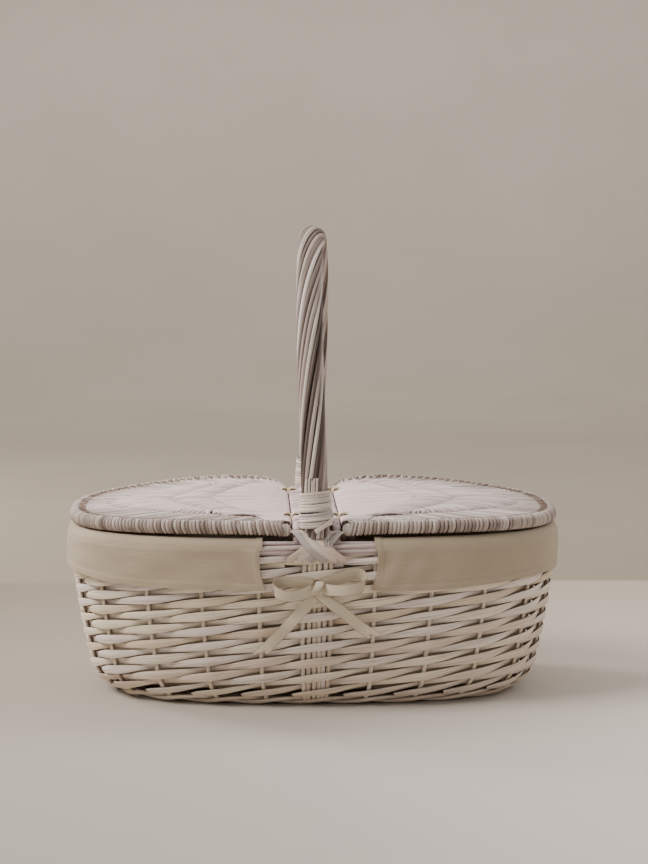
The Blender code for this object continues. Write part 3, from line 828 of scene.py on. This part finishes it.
def joined_with_arms(rib, first):
    """A rib made longer along the first rib's arms, as far as the next rib's ends."""
    x, y, _ = rib
    first_x, first_y, _ = first
    arm = (first_x < x[-1]) & (first_x > RIB_END_X)
    front, back = arm & (first_y < 0), arm & (first_y > 0)
    joined_x = np.concatenate([first_x[front], x, first_x[back]])
    return with_length(joined_x, np.concatenate([first_y[front], y, first_y[back]]))


def lid_zone(panel, outer, inner, flip, low, high, slant, thick=0.0032):
    """Strands from one rib to the next one in, above the ribs and, half a pitch away, below them."""
    outer_length, inner_length = outer[2][-1], inner[2][-1]
    marks = strand_marks(outer_length, low, high)
    for layer in (1, -1):
        for spot, pitch in marks:
            spot = spot + (0 if layer == 1 else pitch / 2)
            reach = spot * inner_length / outer_length + slant * math.tanh(spot / outer_length * 5)
            if abs(reach) > inner_length + 0.006 or abs(spot) > outer_length:
                continue
            reach = np.clip(reach + 0.0006 * random.normal(), -inner_length, inner_length)
            (x0,), (y0,) = lid_curve(outer, np.array([spot]))
            (x1,), (y1,) = lid_curve(inner, np.array([reach]))
            length = math.hypot(x1 - x0, y1 - y0)
            if length < 0.004:
                continue
            t = np.linspace(-0.0015 / length, 1 + 0.0025 / length, 9)
            bow = 0.0012 * random.normal() * np.sin(np.pi * t)
            x = x0 + (x1 - x0) * t + bow * (y1 - y0) / length
            y = y0 + (y1 - y0) * t - bow * (x1 - x0) / length
            rise = 0.0010 + 0.0026 * np.sin(np.pi * np.clip(t, 0, 1)) ** 0.6
            z = PANEL_Z + layer * rise + lid_lift(x, y)
            width = pitch * (0.70 + 0.08 * np.sin(np.pi * np.clip(t, 0, 1)))
            # Painted shade: each strand is painted darker towards its ends, where it dips under its rib, and
            # each strand has its own tone.
            middle = np.sin(np.pi * np.clip(t, 0, 1)) ** 0.6
            own = 0.35 + 0.65 * random.random()
            tone = own * (0.30 + 0.70 * middle)
            panel.sweep(xyz(x, y, z) * flip, layer * UP, width, thick, tone=tone)


def build_lid_border(side_name, mirror, first_rib):
    """Each strand goes over and round the border; every other one runs on inwards above, the rest below."""
    flip = np.array([mirror, 1.0, 1.0])
    table = lid_table(LID_BORDER_RADIUS, LID_END_X)
    length = table[2][-1]
    wrap = Strands()
    along = np.linspace(0.004 - length, length - 0.004, 120)
    x, y = lid_curve(table, along)
    z = LID_BORDER_Z + lid_lift(x, y)
    wrap.sweep(xyz(x, y, z) * flip, UP, 0.0088, 0.0088, sides=10)
    rib_length = first_rib[2][-1]
    for i, (spot, pitch) in enumerate(strand_marks(length - 0.0060, 0.0030, 0.0038)):
        (bx,), (by,), (outward,), (forward,) = lid_frame(table, np.array([spot]))
        share = spot / length
        end = min(1.0, (length - abs(spot)) / 0.03)
        size = 0.0050 - 0.0003 * end
        turn = np.radians(np.linspace(75, -255, 17))
        tilt = -(0.0022 - 0.0014 * end) * np.sin(turn) * np.sign(share) + 0.0003 * random.normal()
        round_part = np.stack([
            bx + outward[0] * size * np.cos(turn) + forward[0] * tilt,
            by + outward[1] * size * np.cos(turn) + forward[1] * tilt,
            LID_BORDER_Z + size * np.sin(turn),
        ], -1)
        slant = 0.012 * math.tanh(share * 5)
        inner = np.clip(spot * rib_length / length + slant, -rib_length, rib_length)
        (rib_x,), (rib_y,) = lid_curve(first_rib, np.array([inner]))
        legs = []
        for start, layer, runs_on in ((round_part[0], 1, i % 2 == 0), (round_part[-1], -1, i % 2 == 1)):
            span = math.hypot(rib_x - start[0], rib_y - start[1])
            reach = 1.0 + 0.002 / span if runs_on else min(0.9, 0.007 / span)
            t = np.linspace(0, reach, 9)[1:]
            x, y = start[0] + (rib_x - start[0]) * t, start[1] + (rib_y - start[1]) * t
            deep = 0.0024 - 0.0014 * end if runs_on else -0.0012
            fall = np.clip(t * span / 0.012, 0, 1)
            z = start[2] + (PANEL_Z + layer * deep - start[2]) * (3 * fall**2 - 2 * fall**3)
            z = z - layer * 0.0014 * np.clip((t - 0.9) / 0.1, 0, 1) * runs_on
            legs.append((xyz(x, y, z), np.tile(layer * UP, (8, 1))))
        away = spokes(turn, outward, UP)
        path = np.concatenate([legs[0][0][::-1], round_part, legs[1][0]])
        up = np.concatenate([legs[0][1], away, legs[1][1]])
        path[:, 2] += lid_lift(path[:, 0], path[:, 1])
        n = len(path)
        middle = np.clip(1.6 - 3.2 * np.abs(np.arange(n) / (n - 1) - 0.5), 0, 1)
        width = pitch * (1.06 - 0.08 * middle)
        thick = 0.0029 + 0.0006 * middle
        # Painted shade: each strand is painted darker where it wraps round the outside of the border, and
        # lighter on its legs on top.
        own = random.random()
        tone = np.clip(-0.05 + 0.56 * own + (1 - middle) * (0.50 - 0.30 * (i % 3 == 0)), 0, 1)
        wrap.sweep(path * flip, up * flip, width, thick, tone=tone)
    # Fine turns close each end beside the hinge, over a rounded tip.
    for end in (-1, 1):
        for back, radius in LID_END_TURNS:
            (x,), (y,), (outward,), _ = lid_frame(table, np.array([end * (length - back)]))
            away = spokes(around(24), outward, UP)
            ring = away * radius + [x, y, LID_BORDER_Z]
            tone = 0.2 + 0.5 * random.random()
            wrap.sweep(ring * flip, away * flip, 0.0014, 0.0016, tone=tone, sides=6, closed=True)
    wrap.build(f"{side_name}_lid_border_wrap", border_willow, f"{side_name}_lid",
               [f"{side_name}_lid_border"])


def build_lid(side_name, mirror):
    flip = np.array([mirror, 1.0, 1.0])
    tables = rib_tables()
    build_lid_border(side_name, mirror, tables[0])
    panel = Strands()
    for x, y, _ in tables:
        z = PANEL_Z + lid_lift(x, y)
        panel.sweep(xyz(x, y, z)[::5] * flip, UP, 0.0040, 0.0040)
    lid_zone(panel, tables[0], tables[1], flip, 0.0048, 0.0060, 0.016)
    lid_zone(panel, joined_with_arms(tables[1], tables[0]), tables[2], flip, 0.0040, 0.0050, 0.012)
    # The flat part beside the hinge: strands that come in along X and turn round the hinge rod.
    rib_x, rib_y, _ = tables[2]
    for spot, pitch in strand_marks(LID_HALF_Y - 0.0235, 0.0030, 0.0040):
        if abs(spot) < rib_y[-1]:
            edge = float(np.interp(spot, rib_y, rib_x)) + 0.001
        else:
            edge = float(np.interp(abs(spot), [rib_y[-1], LID_HALF_Y], [rib_x[-1], HINGE_X + 0.014]))
        turn = np.radians(np.linspace(90, 270, 9))
        run = np.linspace(edge, HINGE_X + 0.002, 10)[:-1]
        bend = np.clip((run - HINGE_X) / 0.010, 0, 1)
        rise = 0.0024 + (PANEL_Z + 0.0022 - HINGE_Z - 0.0024) * bend
        low = -0.0024 + (PANEL_Z - 0.0022 - HINGE_Z + 0.0024) * bend
        x = np.concatenate([run, HINGE_X + 0.0024 * np.cos(turn), run[::-1]])
        z = HINGE_Z + np.concatenate([rise, 0.0024 * np.sin(turn), low[::-1]])
        y = spot + 0.0010 * random.normal() * (x - HINGE_X) / 0.05
        away = np.concatenate([np.tile(UP, (9, 1)), spokes(turn, ALONG_X, UP), np.tile(-UP, (9, 1))])
        path = xyz(x, y, z + lid_lift(x, y))
        tone = 0.42 + 0.5 * random.random()
        panel.sweep(path * flip, away * flip, pitch * 0.98, 0.0017, tone=tone)
    panel.build(f"{side_name}_lid_panel", pale_willow, f"{side_name}_lid",
                [f"{side_name}_lid_weave", f"{side_name}_lid_rib"])
    rod = Strands()
    low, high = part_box(f"{side_name}_lid_hinge_rod")
    y = np.linspace(low[1], high[1], 30)
    rod.sweep(xyz(mirror * HINGE_X, y, HINGE_Z), UP, 0.0040, 0.0040, sides=10)
    rod.build(f"{side_name}_lid_rod", pale_willow, f"{side_name}_lid",
              [f"{side_name}_lid_hinge_rod"])


# ---- Cloth ----


def cloth_mesh(name, grid, thick, material, hem=0.0):
    """A closed thin cloth from a grid of points, with coordinates for its threads."""
    rows, columns = grid.shape[:2]
    d_row = np.gradient(grid, axis=0)
    d_column = np.gradient(grid, axis=1)
    normal = unit(np.cross(d_row, d_column))
    across_steps = np.linalg.norm(np.diff(grid, axis=1), axis=-1)
    down_steps = np.linalg.norm(np.diff(grid, axis=0), axis=-1)
    along = np.concatenate([np.zeros((rows, 1)), np.cumsum(across_steps, 1)], 1)
    down = np.concatenate([np.zeros((1, columns)), np.cumsum(down_steps, 0)], 0)
    edge = np.full((rows, columns), 1.0)
    if hem:
        edge = np.minimum(np.minimum(along, along[:, -1:] - along), down[-1:] - down)
    extra = (1 + 1.3 * (edge < hem))[..., None]
    upper, lower = grid + normal * extra * thick / 2, grid - normal * extra * thick / 2
    points = np.concatenate([upper.reshape(-1, 3), lower.reshape(-1, 3)])
    i, j = np.meshgrid(np.arange(rows - 1), np.arange(columns - 1), indexing="ij")
    a = (i * columns + j).ravel()
    quads = np.stack([a, a + columns, a + columns + 1, a + 1], -1)
    n = rows * columns
    outline = list(range(columns))
    outline += [k * columns + columns - 1 for k in range(1, rows)]
    outline += [(rows - 1) * columns + k for k in range(columns - 2, -1, -1)]
    outline += [k * columns for k in range(rows - 2, 0, -1)]
    faces = quads.tolist() + (quads[:, ::-1] + n).tolist()
    for p, q in zip(outline, outline[1:] + outline[:1]):
        faces.append([p, q, q + n, p + n])
    mesh = bpy.data.meshes.new(name)
    mesh.from_pydata(points.tolist(), [], faces)
    values = (("along", along), ("across", down), ("edge", edge))
    finish_mesh(mesh, [(label, np.tile(table.ravel(), 2)) for label, table in values], 60, material)
    return mesh


def wrinkle(share, depth, seed, waves):
    """Soft folds that change along the rim and with depth."""
    value = 0
    for i in range(waves):
        phase = seed * 1.7 + i * 2.1
        value = value + np.sin(2 * np.pi * share * (5 + 7 * i) + phase + 1.3 * depth * (i % 3)) / (1 + i)
    return value


def build_cuff(side_name, start_x, back_x):
    """One flap of the liner: up inside, over the rim border and down outside, with a hem."""
    hand = -1 if side_name == "left" else 1
    first, last = share_at_front(start_x), 0.5 - share_at_front(back_x)
    share = np.linspace(first, last, 320)
    steps = [(0.134, -0.0122)]
    for degrees in (180, 160, 140, 115, 90, 65, 40, 15, 0):
        turn = math.radians(degrees)
        steps.append((BORDER_Z + 0.0086 * math.sin(turn), BORDER_OUT + 0.0068 * math.cos(turn)))
    grid = [side(hand * share, z, out)[0] for z, out in steps]
    from_tip = np.abs(share - 0.25)
    at_tip = np.clip(1 - from_tip / 0.19, 0, 1)
    hem_z = 0.1060 + 0.0100 * at_tip**1.3 + 0.0009 * np.sin(share * 44 + hand)
    # Each cut end is drawn a little askew, with a soft curl beside it.
    from_end = np.minimum(share - first, last - share) * RIM_LENGTH
    toward_end = np.where(share < 0.25, -1.0, 1.0)
    rows = 26
    for i in range(1, rows + 1):
        depth = i / rows
        z = BORDER_Z + (hem_z - BORDER_Z) * depth
        fold = wrinkle(hand * share, depth * 3, 2.0 + hand, 4)
        pull = np.exp(-from_end / 0.030) * np.sin(depth * 5.0 + from_end * 260 + hand)
        lines = np.sin(2 * np.pi * (share * 9 + 0.35 * depth)) * np.clip(1 - np.abs(depth - 0.25) * 3, 0, 1)
        out = 0.0023 + 0.0012 * depth**2 + 0.0008 * fold * depth + 0.0006 * lines + 0.0007 * pull
        askew = 0.0045 * depth - 0.0022 * np.sin(np.pi * depth)
        moved = share - toward_end * np.exp(-from_end / 0.020) * (0.0022 - askew) / RIM_LENGTH
        grid.append(side(hand * moved, z, out)[0])
    grid = np.array(grid)
    if hand < 0:
        grid = grid[:, ::-1]
    mesh = cloth_mesh(f"{side_name}_cuff_cloth", grid, 0.0009, cotton, hem=0.0055)
    cuff = add_piece(f"{side_name}_cuff_cloth", mesh, "basket", [f"{side_name}_liner_cuff"])


def build_liner():
    """The bag inside: walls that hang from the rim, gathered into the floor."""
    share = np.linspace(0, 1, 241)
    # Heights down the wall, each with how deep its folds are.
    levels = ((0.1355, 0), (0.120, 0.3), (0.100, 0.6), (0.080, 0.8), (0.060, 1), (0.040, 1), (0.026, 0.8))
    grid = []
    for z, fold in levels:
        out = -0.0136 - 0.0026 * fold * np.clip(1 + 0.6 * wrinkle(share, z * 12, 3.0, 5), 0, None)
        grid.append(side(share, z, out)[0])
    for inset, z in ((0.016, 0.0190), (0.020, 0.0150), (0.026, 0.0128)):
        point, _ = side(share, 0.026, -inset)
        point[:, 2] = z
        grid.append(point)
    rim = grid[-1].copy()
    for shrink in (0.94, 0.85, 0.72, 0.55, 0.35, 0.12):
        point = rim * [shrink, shrink, 1]
        point[:, 2] = 0.0118 + 0.0003 * np.sin(point[:, 0] * 90) * np.cos(point[:, 1] * 70)
        grid.append(point)
    grid = np.array(grid)
    mesh = cloth_mesh("liner_bag_cloth", grid, 0.0009, cotton)
    bag = add_piece("liner_bag_cloth", mesh, "basket", ["liner_bag"])


def ribbon_strip(strands, points, width, spin, cut=0.0, count=44):
    """A flat ribbon along a smooth line; spin gives the way its face looks, spread along the line."""
    line = smooth_line(points, count)
    face = unit(between(np.linspace(0, 1, count), np.linspace(0, 1, len(spin)), spin))
    strands.sweep(line, face, width, 0.0009, tone=0.5, sides=10, flat=0.45, cut=cut)
    return float(length_along(*line.T)[-1])


def build_bow(name, facing):
    """A tied bow: two loops open at the top, a slanted knot, and two tails cut on the slant."""
    middle_z = float(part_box(f"{name}_bow")[1][2]) - 0.0115
    y = -0.1490
    bow = Strands()
    width = 0.0100
    # Each loop leaves the knot in front, swings out to its end and comes back higher up behind.
    left = [(-0.004, -0.002, -0.001), (-0.013, -0.0070, -0.004), (-0.024, -0.0100, -0.0055),
            (-0.0335, -0.0080, -0.003), (-0.0365, -0.0020, 0.0015), (-0.031, 0.0015, 0.005),
            (-0.018, 0.0010, 0.005), (-0.004, 0.0005, 0.002)]
    right = [(0.004, -0.002, 0.000), (0.015, -0.0070, -0.001), (0.027, -0.0095, 0.000),
             (0.0375, -0.0075, 0.002), (0.0410, -0.0020, 0.0075), (0.035, 0.0015, 0.0125),
             (0.020, 0.0010, 0.0085), (0.004, 0.0005, 0.0025)]
    facing_out = [(0.15, -1, 0.25), (0.1, -1, 0.1), (-0.1, -1, 0.0), (-1, -0.6, 0.1), (-0.9, 0.7, 0.1),
                  (0, 1, 0.15), (0, 1, 0.1), (0.1, 1, 0.2)]
    mirrored = [(-a, b, c) for a, b, c in facing_out]
    tail_left = [(0.002, -0.0015, -0.003), (-0.006, -0.0040, -0.011), (-0.018, -0.0045, -0.024),
                 (-0.032, -0.0020, -0.040), (-0.047, -0.0030, -0.0545)]
    tail_right = [(0.001, -0.0025, -0.003), (0.010, -0.0045, -0.011), (0.024, -0.0030, -0.022),
                  (0.038, -0.0010, -0.034), (0.048, -0.0025, -0.0405)]
    hanging = [(0, -1, 0.3), (0.25, -1, 0.25), (-0.15, -1, 0.2), (0.1, -1, -0.1), (-0.1, -1, 0.1)]
    total = 0.034
    for points, spin, cut in ((left, facing_out, 0), (right, mirrored, 0), (tail_left, hanging, 0.9),
                              (tail_right, hanging, -0.7)):
        total += ribbon_strip(bow, [(x, y + b, middle_z + z) for x, b, z in points], width, spin, cut)
    # The knot is a turn of the same ribbon, folded narrow and pulled to one side.
    turn = around(32)
    for shift, tall, deep in ((-0.0017, 0.0056, 0.0048), (0.0011, 0.0052, 0.0053), (0.0003, 0.0045, 0.0057)):
        x = shift + 0.0030 * np.sin(turn)
        ring = xyz(x, y - 0.0015 + deep * np.cos(turn), middle_z + tall * np.sin(turn))
        bow.sweep(ring, spokes(turn, ALONG_Y, UP), 0.0044, 0.0016, tone=0.5, sides=10, closed=True, flat=0.7)
    for points in bow.points:
        points[:, :2] *= -facing
    piece = bow.build(f"{name}_ribbon_bow", ribbon_cloth, "basket", [f"{name}_bow"])


# ---- Stage, light and camera ----


def build_stage():
    """A pale floor in front, and a plaster-coloured backdrop that starts close behind the basket."""
    depth, reach, height, cove = 4.2, 7.0, 5.0, 1.2
    curve = [(-7.0, 0.0), (0.0, 0.0), (depth - cove, 0.0)]
    for turn in np.linspace(0.15, math.pi / 2, 12):
        curve.append((depth - cove + cove * math.sin(turn), cove - cove * math.cos(turn)))
    curve.append((depth, height))
    points = [(x, y, z) for x in (-reach, reach) for y, z in curve]
    n = len(curve)
    mesh = bpy.data.meshes.new("floor")
    mesh.from_pydata(points, [], [(i, i + n, i + n + 1, i + 1) for i in range(n - 1)])
    mesh.shade_smooth()
    made, tree, shader = node_tree("plaster")
    place = add_node(tree, "ShaderNodeTexCoord").outputs["Object"]
    cloud = noise(tree, place, 2.2, 4.0, 0.6)
    parts = add_node(tree, "ShaderNodeSeparateXYZ")
    tree.links.new(place, parts.inputs[0])
    away = math_node(tree, "MULTIPLY_ADD", parts.outputs[1], 0.2, 0.2)
    behind = ramp(tree, away, [(0.3136, (0, 0, 0)), (0.3148, (1, 1, 1))])
    # Painted shade: the near floor is painted darker as it goes back towards the line.
    painted_floor_shade = ramp(tree, away, [(0.14, (1, 1, 1)), (0.20, (0.84, 0.815, 0.78)), (0.305, (0.60, 0.55, 0.49))])
    # Painted light: the far floor is painted darker just past the line and lighter towards the wall, and the
    # wall lighter as it rises.
    far = ramp(tree, away, [(0.315, (0.45, 0.415, 0.345)), (0.44, (0.50, 0.465, 0.405)),
                            (0.62, (0.56, 0.525, 0.47)), (0.80, (0.80, 0.77, 0.72))])
    upright = ramp(tree, parts.outputs[2], [(0.0, (1, 1, 1)), (0.75, (1.30, 1.33, 1.38))])
    floor_colour = ramp(tree, cloud, [(0.3, (0.50, 0.455, 0.405)), (0.7, (0.52, 0.475, 0.425))])
    wall_colour = ramp(tree, cloud, [(0.3, (0.60, 0.54, 0.475)), (0.7, (0.65, 0.59, 0.525))])
    # Painted light and shade: the floor is painted darker to the left and lighter to the right.
    sideways = math_node(tree, "MULTIPLY_ADD", parts.outputs[0], 0.5, 0.5)
    painted_light_across = ramp(tree, sideways, [(0.32, (0.76, 0.74, 0.70)), (0.50, (1, 1, 1)), (0.66, (1.44, 1.45, 1.46))])
    floor_colour = tinted(tree, tinted(tree, floor_colour, painted_floor_shade), painted_light_across)
    wall_colour = tinted(tree, tinted(tree, wall_colour, far), upright)
    tree.links.new(mix(tree, behind, floor_colour, wall_colour), shader.inputs["Base Color"])
    shader.inputs["Roughness"].default_value = 0.9
    bump(tree, shader, cloud, 0.15, 0.01)
    mesh.materials.append(made)
    add_object("floor", mesh)


def add_area(name, place, aim, size, power, colour):
    data = bpy.data.lights.new(name, "AREA")
    data.shape = "RECTANGLE"
    data.size, data.size_y = size
    data.energy = power
    data.color = colour
    lamp = add_object(name, data)
    lamp.location = place
    lamp.rotation_euler = (Vector(aim) - Vector(place)).to_track_quat("-Z", "Y").to_euler()


def build_light():
    add_area("key", (-1.7, -0.6, 1.95), (0, 0, 0.12), (1.3, 1.3), 70, (1.0, 0.955, 0.90))
    add_area("back", (-1.5, 1.1, 0.95), (0, 0, 0.16), (0.5, 0.4), 26, (1.0, 0.97, 0.96))
    add_area("rim", (1.5, 0.6, 1.2), (0, 0, 0.25), (0.8, 0.8), 10, (1.0, 0.97, 0.93))
    add_area("fill", (1.6, -2.2, 1.3), (0, 0, 0.15), (1.6, 1.2), 6, (1.0, 0.965, 0.93))
    add_area("backdrop", (0.0, 1.6, 2.8), (0, 2.6, 0.4), (4.0, 1.5), 60, (1.0, 0.97, 0.94))
    world = bpy.data.worlds.new("studio")
    bpy.context.scene.world = world
    world.use_nodes = True
    background = world.node_tree.nodes["Background"]
    background.inputs[0].default_value = (0.97, 0.94, 0.92, 1)
    background.inputs[1].default_value = 0.34


def build_camera():
    data = bpy.data.cameras.new("camera")
    camera = add_object("camera", data)
    azimuth, elevation, distance = math.radians(-1.66), math.radians(5.75), 2.4
    aim = Vector((0.0103, 0, 0.2290))
    away = Vector((
        math.sin(azimuth) * math.cos(elevation),
        -math.cos(azimuth) * math.cos(elevation),
        math.sin(elevation),
    ))
    camera.location = aim + away * distance
    camera.rotation_euler = (-away).to_track_quat("-Z", "Y").to_euler()
    data.sensor_fit = "HORIZONTAL"
    data.sensor_width = 36
    focal_in_widths = 1.0970 * distance * 1000 / 648
    data.lens = data.sensor_width * focal_in_widths
    bpy.context.scene.camera = camera


build_side_weave()
build_stakes()
build_foot_rods()
build_rings()
build_base()
build_handle()
build_bridge()
build_hinge_loops()
for lid_name, lid_mirror in (("left", -1), ("right", 1)):
    build_lid(lid_name, lid_mirror)
build_liner()
build_cuff("left", 0.047, 0.045)
build_cuff("right", 0.050, 0.045)
build_bow("front", -1)
build_bow("back", 1)
build_stage()
build_light()
build_camera()
